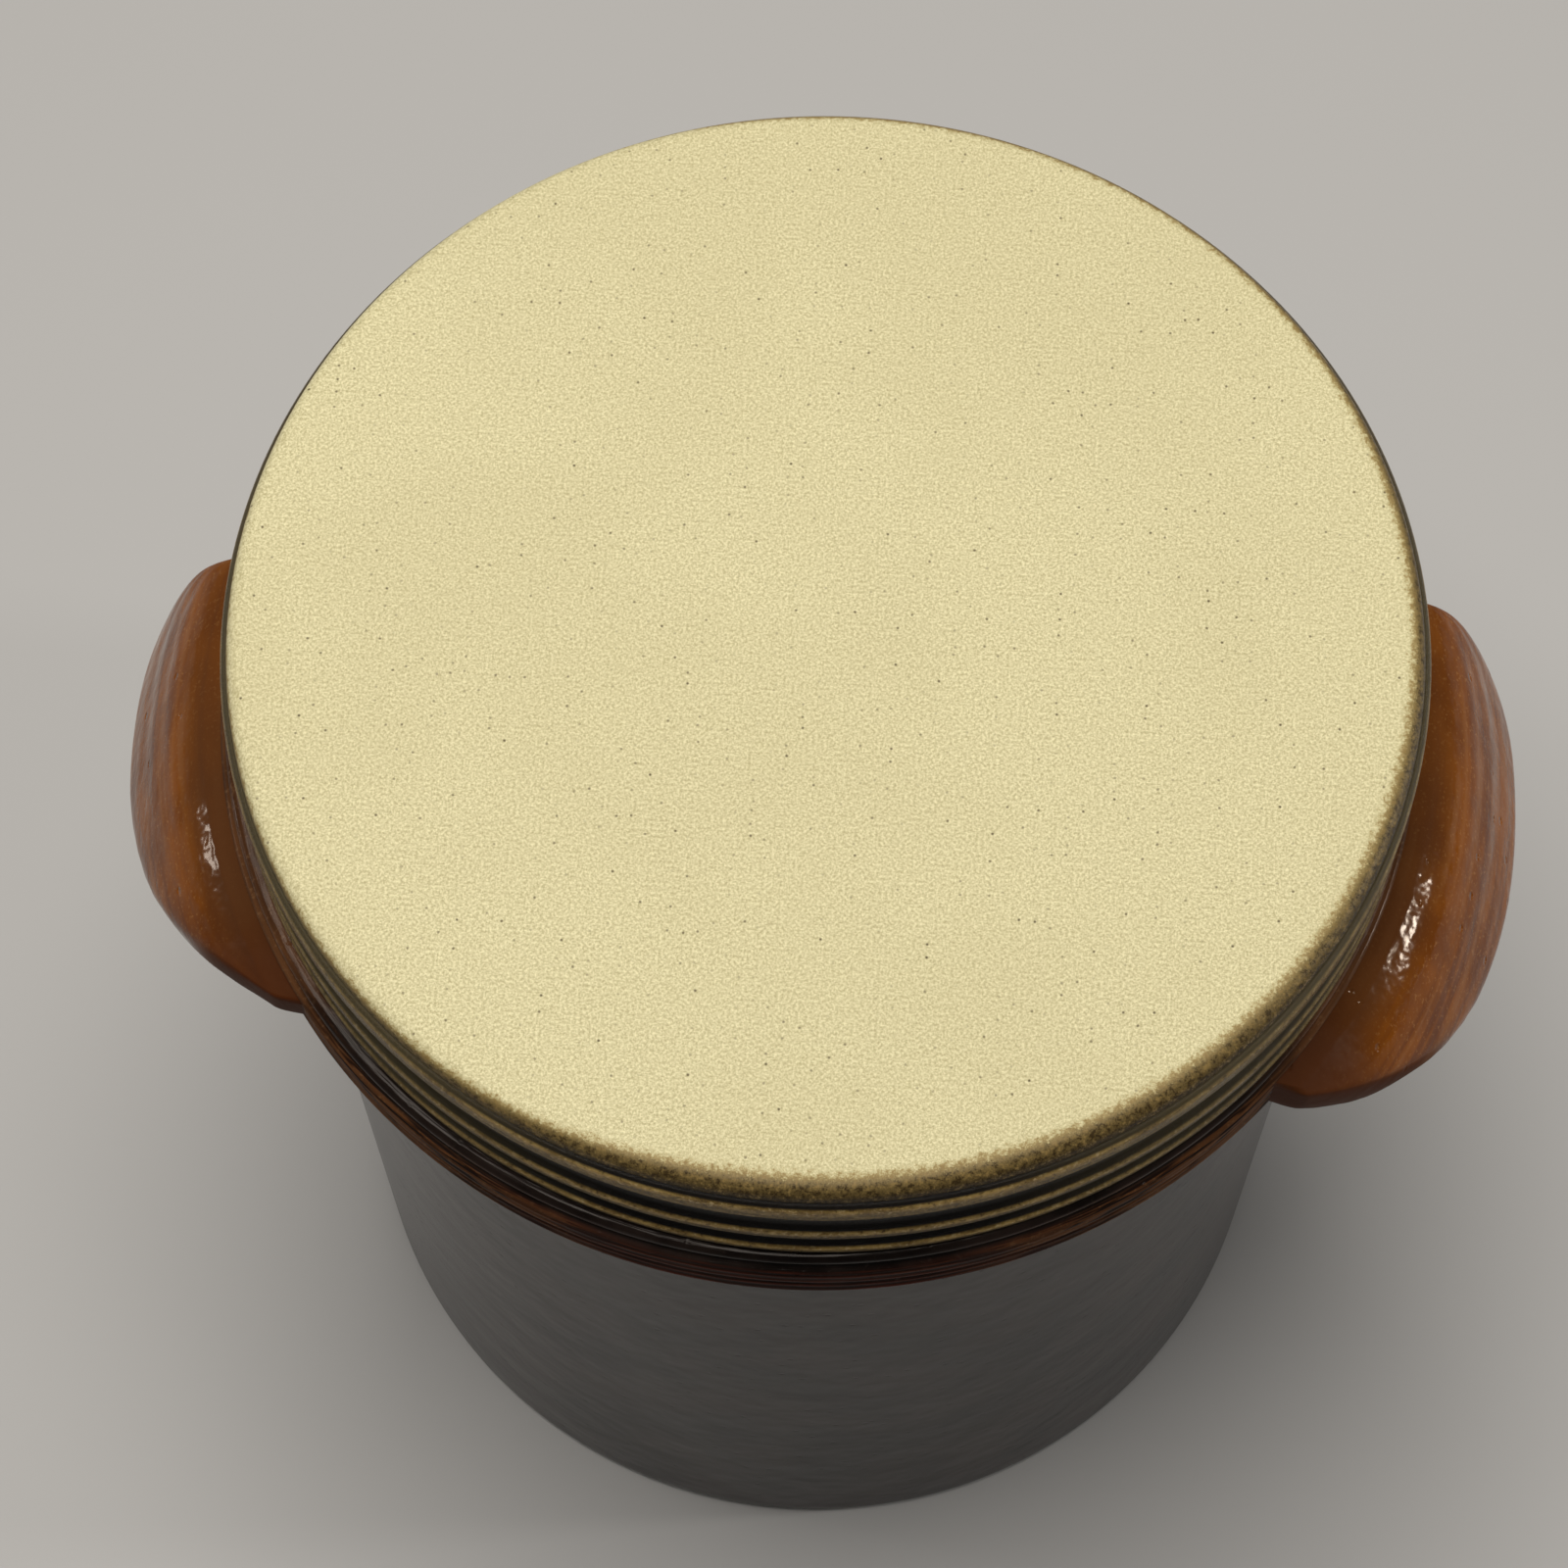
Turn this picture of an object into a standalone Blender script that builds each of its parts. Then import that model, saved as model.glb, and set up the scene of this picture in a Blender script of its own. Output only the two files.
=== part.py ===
"""Stoneware flour canister: a turned jar with a ridged collar, two lug handles luted
under its rim, and a thick flat lid with a fluted edge that lifts straight off.

Metres, +Z up. The origin is the centre of the base. The lugs lie along X and reach
forward, and the plain front of the jar faces -Y.
"""
import math
from collections import namedtuple

import bmesh
import bpy

# Clearances between pieces that touch or slide, and where the lid rests in its play
SEAT_GAP = 0.0003
LID_PLAY = 0.0014
LID_REST_SHIFT = 0.0009

# Jar
JAR_HEIGHT = 0.179
WALL_RADIUS = 0.0825
WALL_THICKNESS = 0.007
FLOOR_THICKNESS = 0.009
FLOOR_FILLET = 0.010
MOUTH_BEVEL = 0.0010

# Collar round the jar's mouth, with its throwing rings
COLLAR_PROUD = 0.0065
COLLAR_RADIUS = WALL_RADIUS + COLLAR_PROUD
COLLAR_HEIGHT = 0.0118
COLLAR_SHOULDER = 0.0030
COLLAR_EDGE = 0.0008
COLLAR_RINGS = 2
RING_DEPTH = 0.0005
COVE_HEIGHT = 0.0050

# Foot of the jar
FOOT_ROUND = 0.0030
FOOT_RING_WIDTH = 0.0090
FOOT_RECESS = 0.0015

# Lid
LID_INSET = 0.0020
LID_RADIUS = COLLAR_RADIUS - LID_INSET
LID_HEIGHT = 0.0227
LID_PLATE = 0.0078
LID_EDGE_WIDTH = 0.0024
LID_EDGE_HEIGHT = 0.0026
FLUTE_DEPTH = 0.0011
LID_BOTTOM_EDGE = 0.0006
FLANGE_DEPTH = 0.0090
FLANGE_THICKNESS = 0.0070
FLANGE_ROUND = 0.0020
RECESS_FILLET = 0.0060
# Upper and lower edge of each ridge, as shares of the lid's height
RIDGE_SHARES = ((0.86, 0.66), (0.41, 0.30), (0.105, 0.030))
# How far the flank of a ridge spreads, as a share of the flute's depth
FLANK_SHARE = 0.6

# Lug handles. Each runs from a blunt back end, round its crest, to a long front taper.
# They are pulled by hand, so the right one is the larger and the fuller in front
RIGHT_LUG_REACH = 0.0196
LEFT_LUG_REACH = 0.0187
LUG_THICKNESS = 0.0085
LUG_ROOT_DEPTH = 0.0060
LUG_DROP = 0.0280
LUG_FEATHER = 0.0008
LUG_CUT_ROUND = 0.0013
LUG_CUT_UNDER_ROUND = 0.0026
LUG_RIB_DEPTH = 0.0005
LUG_RIBS = 5
# How far the crest lies behind X, and each end from the crest
LUG_CREST_ANGLE = math.radians(3.4)
RIGHT_LUG_BACK_ANGLE = math.radians(10.6)
LEFT_LUG_BACK_ANGLE = math.radians(8.8)
RIGHT_LUG_FRONT_ANGLE = math.radians(44)
LEFT_LUG_FRONT_ANGLE = math.radians(41)
# Exponents that shape the lug: how it rounds over, how its back corner closes in
# plan, and how its ribs crowd towards the lip
LUG_ROUND_SHARE = 1.5
LUG_CORNER_SHARE = 3.0
LUG_CROWD_SHARE = 1.6
# Exponents of the front taper: how late it begins, and how softly it runs out
RIGHT_LUG_TAPER_SHARES = (3.2, 1.0)
LEFT_LUG_TAPER_SHARES = (2.5, 1.5)
# Where the trimmed ends begin and are fully square, as shares of the reach
LUG_TRIM_SHARES = (0.85, 0.50)

# Fineness
TURN_STEPS = 60
ARC_STEPS = 4
RING_STEPS = 4
LUG_BACK_SECTIONS = 11
LUG_FRONT_SECTIONS = 22
RIB_STEPS = 4
LIP_STEPS = 9
MERGE_DISTANCE = 0.00001
SHARP_ANGLE = math.radians(35)


def clear_scene():
    for item in list(bpy.data.objects):
        bpy.data.objects.remove(item, do_unlink=True)


def make_collection(name):
    collection = bpy.data.collections.new(name)
    bpy.context.scene.collection.children.link(collection)
    return collection


def glaze(name, colour, roughness):
    """A Principled material for a fired glaze."""
    material = bpy.data.materials.new(name)
    material.use_nodes = True
    shader = material.node_tree.nodes["Principled BSDF"]
    shader.inputs["Base Color"].default_value = (*colour, 1.0)
    shader.inputs["Roughness"].default_value = roughness
    shader.inputs["Metallic"].default_value = 0.0
    material.diffuse_color = (*colour, 1.0)
    return material


def arc(centre, radii, start, end, steps=ARC_STEPS):
    """Points on an ellipse's arc from one angle to another, in degrees."""
    points = []
    for step in range(steps + 1):
        angle = math.radians(start + (end - start) * step / steps)
        x = centre[0] + radii[0] * math.cos(angle)
        z = centre[1] + radii[1] * math.sin(angle)
        points.append((x, z))
    return points


def turned(name, profile, height, material, collection):
    """A solid turned about Z from a profile that runs down its outer side."""
    mesh = bpy.data.meshes.new(name)
    points = [(x, 0.0, z) for x, z in profile]
    edges = [(index, index + 1) for index in range(len(points) - 1)]
    mesh.from_pydata(points, edges, [])
    piece = bpy.data.objects.new(name, mesh)
    piece.location.z = height
    piece.data.materials.append(material)
    collection.objects.link(piece)
    screw = piece.modifiers.new("Turn", 'SCREW')
    screw.axis = 'Z'
    screw.angle = math.tau
    screw.steps = TURN_STEPS
    screw.render_steps = TURN_STEPS
    screw.use_merge_vertices = True
    screw.merge_threshold = MERGE_DISTANCE
    screw.use_smooth_shade = True
    return piece


def collar_rings():
    """The shallow throwing rings down the collar's face, top to bottom."""
    top = JAR_HEIGHT - COLLAR_SHOULDER
    bottom = JAR_HEIGHT - COLLAR_HEIGHT + COLLAR_EDGE
    steps = COLLAR_RINGS * RING_STEPS
    points = []
    for step in range(1, steps):
        share = step / steps
        depth = RING_DEPTH * (1 - math.cos(math.tau * COLLAR_RINGS * share)) / 2
        points.append((COLLAR_RADIUS - depth, top + (bottom - top) * share))
    return points


def jar_side():
    """The jar's outer side under the rim, top to bottom, down to the wall's foot."""
    edge = (COLLAR_RADIUS - COLLAR_EDGE, JAR_HEIGHT - COLLAR_HEIGHT + COLLAR_EDGE)
    cove = (edge[0], JAR_HEIGHT - COLLAR_HEIGHT - COVE_HEIGHT)
    side = arc(edge, (COLLAR_EDGE, COLLAR_EDGE), 0, -90, 2)
    side += arc(cove, (edge[0] - WALL_RADIUS, COVE_HEIGHT), 90, 180)[1:]
    return side + [(WALL_RADIUS, FOOT_ROUND)]


def jar_profile():
    """From the middle of the floor up inside, over the rim and down to the foot."""
    bore = WALL_RADIUS - WALL_THICKNESS
    shoulder = (COLLAR_RADIUS - COLLAR_SHOULDER, JAR_HEIGHT - COLLAR_SHOULDER)
    foot = (WALL_RADIUS - FOOT_ROUND, FOOT_ROUND)
    ring = foot[0] - FOOT_RING_WIDTH
    profile = [(0.0, FLOOR_THICKNESS)]
    profile += arc((bore - FLOOR_FILLET, FLOOR_THICKNESS + FLOOR_FILLET),
                   (FLOOR_FILLET, FLOOR_FILLET), -90, 0)
    profile.append((bore, JAR_HEIGHT - MOUTH_BEVEL))
    profile.append((bore + MOUTH_BEVEL, JAR_HEIGHT))
    profile += arc(shoulder, (COLLAR_SHOULDER, COLLAR_SHOULDER), 90, 0)
    profile += collar_rings()
    profile += jar_side()
    profile += arc(foot, (FOOT_ROUND, FOOT_ROUND), 0, -90)[1:]
    profile.append((ring, 0.0))
    profile.append((ring - FOOT_RECESS, FOOT_RECESS))
    profile.append((0.0, FOOT_RECESS))
    return profile


def make_jar(collection):
    brown = glaze("brown_glaze", (0.045, 0.026, 0.018), 0.18)
    return turned("jar_body", jar_profile(), 0.0, brown, collection)


def lid_ridge(upper, lower):
    """One ridge of the fluted edge, as a rounded band between two heights."""
    flank = FLUTE_DEPTH * FLANK_SHARE
    middle = (upper + lower) / 2
    return [(LID_RADIUS - FLUTE_DEPTH, upper + flank),
            (LID_RADIUS - flank / 2, upper),
            (LID_RADIUS, middle),
            (LID_RADIUS - flank / 2, lower),
            (LID_RADIUS - FLUTE_DEPTH, lower - flank)]


def lid_profile():
    """From the middle of the top, down the fluted edge, round the flange and up."""
    side = LID_RADIUS - FLUTE_DEPTH
    shoulder = (side - LID_EDGE_WIDTH, LID_HEIGHT - LID_EDGE_HEIGHT)
    flange = WALL_RADIUS - WALL_THICKNESS - LID_PLAY
    recess = flange - FLANGE_THICKNESS
    ceiling = LID_HEIGHT - LID_PLATE
    profile = [(0.0, LID_HEIGHT)]
    profile += arc(shoulder, (LID_EDGE_WIDTH, LID_EDGE_HEIGHT), 90, 0)[:-1]
    for upper, lower in RIDGE_SHARES:
        profile += lid_ridge(upper * LID_HEIGHT, lower * LID_HEIGHT)
    profile[-1] = (side - LID_BOTTOM_EDGE, 0.0)
    profile.append((flange, 0.0))
    profile += arc((flange - FLANGE_ROUND, FLANGE_ROUND - FLANGE_DEPTH),
                   (FLANGE_ROUND, FLANGE_ROUND), 0, -90, 3)
    profile += arc((recess + FLANGE_ROUND, FLANGE_ROUND - FLANGE_DEPTH),
                   (FLANGE_ROUND, FLANGE_ROUND), 270, 180, 3)
    profile += arc((recess - RECESS_FILLET, ceiling - RECESS_FILLET),
                   (RECESS_FILLET, RECESS_FILLET), 0, 90)
    profile.append((0.0, ceiling))
    return profile


def make_lid(collection):
    cream = glaze("cream_glaze", (0.72, 0.64, 0.37), 0.5)
    lid = turned("lid", lid_profile(), JAR_HEIGHT + SEAT_GAP, cream, collection)
    lid.location.x = LID_REST_SHIFT
    return lid


def lug_seam():
    """The line that the lug's root follows: the jar's side, a seat gap outside it."""
    side = [(COLLAR_RADIUS, JAR_HEIGHT)] + jar_side()
    normals = []
    for first, second in zip(side, side[1:]):
        length = math.dist(first, second)
        normals.append(((first[1] - second[1]) / length, (second[0] - first[0]) / length))
    seam = [(side[0][0] + SEAT_GAP, side[0][1])]
    for point, before, after in zip(side[1:-1], normals, normals[1:]):
        across = (before[0] + after[0], before[1] + after[1])
        scale = 2 * SEAT_GAP / (across[0] ** 2 + across[1] ** 2)
        seam.append((point[0] + across[0] * scale, point[1] + across[1] * scale))
    seam.append((side[-1][0] + SEAT_GAP, side[-1][1]))
    return seam


SEAM = lug_seam()


def seam_radius(height):
    """Radius of the seam at a height."""
    for upper, lower in zip(SEAM, SEAM[1:]):
        if lower[1] <= height <= upper[1]:
            share = (upper[1] - height) / (upper[1] - lower[1])
            return upper[0] + (lower[0] - upper[0]) * share
    return SEAM[-1][0]


Lug = namedtuple("Lug", "side reach back front taper")
RIGHT_LUG = Lug(1, RIGHT_LUG_REACH, RIGHT_LUG_BACK_ANGLE, RIGHT_LUG_FRONT_ANGLE,
                RIGHT_LUG_TAPER_SHARES)
LEFT_LUG = Lug(-1, LEFT_LUG_REACH, LEFT_LUG_BACK_ANGLE, LEFT_LUG_FRONT_ANGLE,
               LEFT_LUG_TAPER_SHARES)


def reach_share(lug, way):
    """Share of a lug's reach, from its back end, -1, past 0 to its front end, 1."""
    if way > 0:
        late, soft = lug.taper
        return (1 - way ** late) ** soft
    return (1 - (-way) ** LUG_CORNER_SHARE) ** (1 / LUG_CORNER_SHARE)


def lug_trim(reached):
    """How far the lip has gone from a round edge, 0, to an upright trimmed end, 1."""
    begin, square = LUG_TRIM_SHARES
    share = (reached - begin) / (square - begin)
    share = min(max(share, 0.0), 1.0)
    return share * share * (3 - 2 * share)


def resample(points, steps):
    """The same line in equal steps along its length."""
    lengths = [0.0]
    for first, second in zip(points, points[1:]):
        lengths.append(lengths[-1] + math.dist(first, second))
    result = []
    index = 0
    for step in range(steps + 1):
        goal = lengths[-1] * step / steps
        while index < len(points) - 2 and lengths[index + 1] < goal:
            index += 1
        span = lengths[index + 1] - lengths[index]
        share = (goal - lengths[index]) / span
        first, second = points[index], points[index + 1]
        result.append(tuple(a + (b - a) * share for a, b in zip(first, second)))
    return result


def clip_at_seam(points):
    """The part of a line that lies outside the jar, ending on the seam."""
    kept = []
    for first, second in zip(points, points[1:]):
        near = first[0] - seam_radius(first[1])
        far = second[0] - seam_radius(second[1])
        if (near > 0) != (far > 0):
            height = first[1] + (second[1] - first[1]) * near / (near - far)
            kept.append((seam_radius(height), height))
        if far > 0:
            kept.append(second)
    return kept


def rounded(before, corner, after, radius):
    """An arc that rounds the corner of a line."""
    sides = []
    for point in (before, after):
        length = math.dist(point, corner)
        sides.append(((point[0] - corner[0]) / length, (point[1] - corner[1]) / length))
    (ax, az), (bx, bz) = sides
    half_angle = math.acos(ax * bx + az * bz) / 2
    middle = math.atan2(az + bz, ax + bx)
    away = radius / math.sin(half_angle)
    centre = (corner[0] + away * math.cos(middle), corner[1] + away * math.sin(middle))
    swing = 90 - math.degrees(half_angle)
    back = math.degrees(middle) + 180
    return arc(centre, (radius, radius), back + swing, back - swing, LIP_STEPS)


def lug_slab(lug, way):
    """The slab's upper side, its lip or trimmed end, and its underside, as one line."""
    half = LUG_THICKNESS / 2
    root = JAR_HEIGHT - LUG_ROOT_DEPTH
    reached = reach_share(lug, way)
    least = (SEAT_GAP + LUG_FEATHER) / lug.reach
    reach = least + (1 - least) * reached
    fine = LUG_RIBS * RIB_STEPS * 2
    upper, lower = [], []
    for step in range(fine + 1):
        share = reach * step / fine
        radius = COLLAR_RADIUS - half + lug.reach * share
        height = root - LUG_DROP * share ** LUG_ROUND_SHARE
        fall = LUG_ROUND_SHARE * LUG_DROP / lug.reach * share ** (LUG_ROUND_SHARE - 1)
        slope = math.atan(fall)
        across = (half * math.sin(slope), half * math.cos(slope))
        upper.append((radius + across[0], height + across[1]))
        lower.append((radius - across[0], height - across[1]))
    trim = lug_trim(reached)
    lean = slope * trim
    above = half * (1 - math.sin(lean)) / math.cos(lean)
    below = half * (1 + math.sin(lean)) / math.cos(lean)
    ahead = (math.cos(slope), -math.sin(slope))
    brow = (upper[-1][0] + above * ahead[0], upper[-1][1] + above * ahead[1])
    chin = (lower[-1][0] + below * ahead[0], lower[-1][1] + below * ahead[1])
    brow_round = half + (LUG_CUT_ROUND - half) * trim
    chin_round = half + (LUG_CUT_UNDER_ROUND - half) * trim
    end = rounded(upper[-1], brow, chin, brow_round)
    end += rounded(brow, chin, lower[-1], chin_round)
    return upper[:-1] + end + lower[-2::-1]


def lug_section(lug, way):
    """Closed section of a lug some way along it, as (radius, height) points."""
    outline = clip_at_seam(lug_slab(lug, way))
    reach = max(radius for radius, height in outline) - MERGE_DISTANCE
    outermost = next(index for index, point in enumerate(outline) if point[0] > reach)
    outer = ribbed(resample(outline[:outermost + 1], LUG_RIBS * RIB_STEPS), way)
    inner = resample(outline[outermost:], LIP_STEPS)
    highest, lowest = outer[0], inner[-1]
    root = []
    for point in SEAM[-2:0:-1]:
        if point[1] <= lowest[1]:
            root.append(lowest)
        elif point[1] >= highest[1]:
            root.append(highest)
        else:
            root.append(point)
    return outer + inner[1:] + root


def ribbed(points, way):
    """Shallow grooves pulled along the lug, fading out at its edges and ends."""
    fade_at_ends = math.cos(way * math.pi / 2)
    last = len(points) - 1
    result = [points[0]]
    for index in range(1, last):
        share = index / last
        before, after = points[index - 1], points[index + 1]
        length = math.dist(before, after)
        normal = ((before[1] - after[1]) / length, (after[0] - before[0]) / length)
        wave = (1 - math.cos(math.tau * LUG_RIBS * share)) / 2
        fade = math.sin(math.pi * share ** LUG_CROWD_SHARE) * fade_at_ends
        depth = LUG_RIB_DEPTH * wave * fade
        result.append((points[index][0] - depth * normal[0],
                       points[index][1] - depth * normal[1]))
    result.append(points[last])
    return result


def lug_mesh(lug):
    """A lug as a loft through sections that swing round the jar's axis."""
    form = bmesh.new()
    rings = []
    for step in range(-LUG_BACK_SECTIONS, LUG_FRONT_SECTIONS + 1):
        sections = LUG_FRONT_SECTIONS if step > 0 else LUG_BACK_SECTIONS
        swing = lug.front if step > 0 else lug.back
        way = math.sin(step / sections * math.pi / 2)
        angle = way * swing - LUG_CREST_ANGLE
        ring = []
        for radius, height in lug_section(lug, way):
            x = radius * math.cos(angle) * lug.side
            y = -radius * math.sin(angle)
            ring.append(form.verts.new((x, y, height)))
        rings.append(ring)
    count = len(rings[0])
    for near, far in zip(rings, rings[1:]):
        for index in range(count):
            following = (index + 1) % count
            form.faces.new((near[index], near[following], far[following], far[index]))
    form.faces.new(rings[0][::-1])
    form.faces.new(rings[-1])
    bmesh.ops.remove_doubles(form, verts=form.verts, dist=MERGE_DISTANCE)
    bmesh.ops.recalc_face_normals(form, faces=form.faces)
    mesh = bpy.data.meshes.new("lug")
    form.to_mesh(mesh)
    form.free()
    mesh.shade_smooth()
    mesh.set_sharp_from_angle(angle=SHARP_ANGLE)
    return mesh


def make_lugs(collection):
    tan = glaze("tan_glaze", (0.19, 0.075, 0.022), 0.2)
    for name, lug in (("right_lug_handle", RIGHT_LUG), ("left_lug_handle", LEFT_LUG)):
        handle = bpy.data.objects.new(name, lug_mesh(lug))
        handle.data.materials.append(tan)
        collection.objects.link(handle)


def main():
    clear_scene()
    canister = make_collection("flour_canister")
    make_jar(canister)
    make_lugs(canister)
    make_lid(canister)


main()
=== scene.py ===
"""Flour canister: the finish of a brown glazed stoneware jar, its two orange-brown lug
handles and its cream lid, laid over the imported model. Metres, +Z up, lugs along X.
"""
import math

import bpy
from mathutils import Matrix, Vector


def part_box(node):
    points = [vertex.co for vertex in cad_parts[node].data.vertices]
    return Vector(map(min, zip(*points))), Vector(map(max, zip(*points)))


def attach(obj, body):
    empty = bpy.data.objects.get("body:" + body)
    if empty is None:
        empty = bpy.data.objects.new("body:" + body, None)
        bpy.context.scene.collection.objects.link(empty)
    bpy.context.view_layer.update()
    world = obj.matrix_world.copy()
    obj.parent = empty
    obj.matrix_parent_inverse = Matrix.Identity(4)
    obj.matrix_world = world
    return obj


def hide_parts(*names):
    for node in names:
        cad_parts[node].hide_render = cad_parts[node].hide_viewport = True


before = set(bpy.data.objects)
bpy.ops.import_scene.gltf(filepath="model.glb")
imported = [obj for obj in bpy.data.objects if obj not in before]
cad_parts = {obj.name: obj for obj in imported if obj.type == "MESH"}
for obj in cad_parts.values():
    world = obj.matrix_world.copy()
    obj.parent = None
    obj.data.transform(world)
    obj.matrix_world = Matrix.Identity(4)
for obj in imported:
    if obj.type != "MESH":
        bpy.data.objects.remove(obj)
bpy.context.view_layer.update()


# Camera. It looks steeply down at the front of the jar from half a metre above the
# lid, turned a little to the left, with a long lens.
CAMERA_PLACE = (0.0123, -0.2429, 0.7070)
CAMERA_LOOKS_DOWN = math.radians(66.67)
CAMERA_TURN = math.radians(4.15)
CAMERA_ROLL = math.radians(-0.83)
CAMERA_LENS_MM = 90.0
CAMERA_SENSOR_MM = 36.0

camera = bpy.data.objects.new("camera", bpy.data.cameras.new("camera"))
camera.data.lens = CAMERA_LENS_MM
camera.data.sensor_width = CAMERA_SENSOR_MM
camera.matrix_world = (Matrix.Translation(CAMERA_PLACE)
                       @ Matrix.Rotation(CAMERA_TURN, 4, 'Z')
                       @ Matrix.Rotation(math.pi / 2 - CAMERA_LOOKS_DOWN, 4, 'X')
                       @ Matrix.Rotation(CAMERA_ROLL, 4, 'Z'))
bpy.context.scene.collection.objects.link(camera)
bpy.context.scene.camera = camera


# Floor and light. A plain pale floor under a large soft light overhead, a small low
# lamp at each side that draws the highlights on the lugs, and a dim even room.
FLOOR_SIZE = 3.0
FLOOR_COLOUR = (0.46, 0.452, 0.442, 1.0)
FLOOR_ROUGHNESS = 0.7
ROOM_COLOUR = (1.0, 0.98, 0.95, 1.0)
ROOM_STRENGTH = 0.14
LIGHTS_AIM = (0, 0, 0.1)
# Each light's name, place, width, power in watts and colour.
LIGHTS = (
    ("overhead_light", (-0.12, 0.10, 1.28), 0.8, 15.3, (1.0, 0.965, 0.91)),
    ("right_lamp", (1.05, 0.04, 0.34), 0.10, 2.7, (1.0, 0.98, 0.95)),
    ("left_lamp", (-1.05, 0.08, 0.28), 0.07, 0.42, (1.0, 0.98, 0.96)),
)

bpy.ops.mesh.primitive_plane_add(size=FLOOR_SIZE)
floor = bpy.context.object
floor.name = "floor"
floor_paint = bpy.data.materials.new("floor_paint")
floor_paint.use_nodes = True
floor_shader = floor_paint.node_tree.nodes["Principled BSDF"]
floor_shader.inputs["Base Color"].default_value = FLOOR_COLOUR
floor_shader.inputs["Roughness"].default_value = FLOOR_ROUGHNESS
floor.data.materials.append(floor_paint)

for name, place, width, power, colour in LIGHTS:
    lamp = bpy.data.lights.new(name, 'AREA')
    lamp.shape = 'SQUARE'
    lamp.size = width
    lamp.energy = power
    lamp.color = colour
    light = bpy.data.objects.new(name, lamp)
    light.location = place
    back = Vector(place) - Vector(LIGHTS_AIM)
    light.rotation_euler = back.to_track_quat('Z', 'Y').to_euler()
    bpy.context.scene.collection.objects.link(light)

room = bpy.data.worlds.new("room")
room.use_nodes = True
room.node_tree.nodes["Background"].inputs["Color"].default_value = ROOM_COLOUR
room.node_tree.nodes["Background"].inputs["Strength"].default_value = ROOM_STRENGTH
bpy.context.scene.world = room
bpy.context.scene.view_settings.view_transform = 'Standard'


# Jar. One pot thrown on the wheel in brown stoneware: a straight wall on a rounded
# foot, and a thick collar round the mouth with fine throwing rings down its face.
JAR_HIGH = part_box("jar_body")[1]
JAR_HEIGHT = JAR_HIGH.z
COLLAR_RADIUS = JAR_HIGH.x
WALL_RADIUS = 0.0825
WALL_THICKNESS = 0.007
FLOOR_THICKNESS = 0.009
FLOOR_FILLET = 0.010
MOUTH_ROUND = 0.0010
COLLAR_SHOULDER = 0.0012
SHOULDER_SET_BACK = 0.0009
COLLAR_HEIGHT = 0.0118
COLLAR_EDGE = 0.0008
COVE_HEIGHT = 0.0050
RING_DEPTHS = (0.0013, 0.00050, 0.00040, 0.00055, 0.00045)
RING_STEPS = 10
FOOT_ROUND = 0.0030
FOOT_RING_WIDTH = 0.0090
FOOT_RECESS = 0.0015
WHEEL_STEPS = 216
FLOOR_STEPS = 6
BORE_STEPS = 24
WALL_STEPS = 80
EDGE_STEPS = 5
MERGE_WITHIN = 0.00001

BROWN_ROUGHNESS = 0.20
BROWN_IOR = 1.22
BROWN_GLINT = (1.0, 0.92, 0.86, 1.0)
BROWN_DARK = (0.0035, 0.0021, 0.0016, 1)
BROWN_PALE = (0.0190, 0.0120, 0.0095, 1)
BROWN_FLECK = (0.026, 0.018, 0.014, 1)
RUST_DARK = (0.058, 0.023, 0.0090, 1)
RUST_PALE = (0.112, 0.045, 0.0165, 1)
RUST_FLECK = (0.21, 0.110, 0.050, 1)
RUST_GROOVE = (0.012, 0.005, 0.003, 1)
# Painted shade: the collar's rust is darkened to deep red in front.
PAINTED_SHADE_RUST_IN_FRONT = (0.070, 0.0140, 0.0065, 1)
BROWN_PATCH = 0.020
BROWN_GRAIN = 0.0007
LINE_DRAG, LINE_WIDTH, LINE_DEPTH = 0.005, 0.00060, 0.00008
SMEAR_DRAG, SMEAR_WIDTH = 0.016, 0.0030
BROWN_WAVE, BROWN_WAVE_DEPTH = 0.0110, 0.00030
BROWN_PIT_SPACING, BROWN_PIT_DEPTH = 0.0038, 0.00005
# Where the rust begins: up the cove, out to the collar's face and out to a ring's crest.
RUST_FOOT = (0.1652, 0.1672)
RUST_FACE = (COLLAR_RADIUS - 0.0012, COLLAR_RADIUS - 0.0005)
RUST_CREST = (COLLAR_RADIUS - 0.00045, COLLAR_RADIUS - 0.00005)
# The same round the collar, from 0 in front to 1 at the sides; the first pair also spreads
# painted light, which brightens the rust towards the lit sides.
RUST_AND_LIGHT_NEAR_LUGS = (0.14, 0.52)
RUST_AT_LUGS = (0.70, 0.86)


def arc(centre, radii, start, end, steps=10):
    """Points on an ellipse's arc in the XZ plane, between two angles in degrees."""
    points = []
    for step in range(steps + 1):
        angle = math.radians(start + (end - start) * step / steps)
        x = centre[0] + radii[0] * math.cos(angle)
        z = centre[1] + radii[1] * math.sin(angle)
        points.append((x, z))
    return points


def stretch(start, end, steps):
    """Points along a straight line, without its first one."""
    return [(start[0] + (end[0] - start[0]) * step / steps,
             start[1] + (end[1] - start[1]) * step / steps) for step in range(1, steps + 1)]


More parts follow.
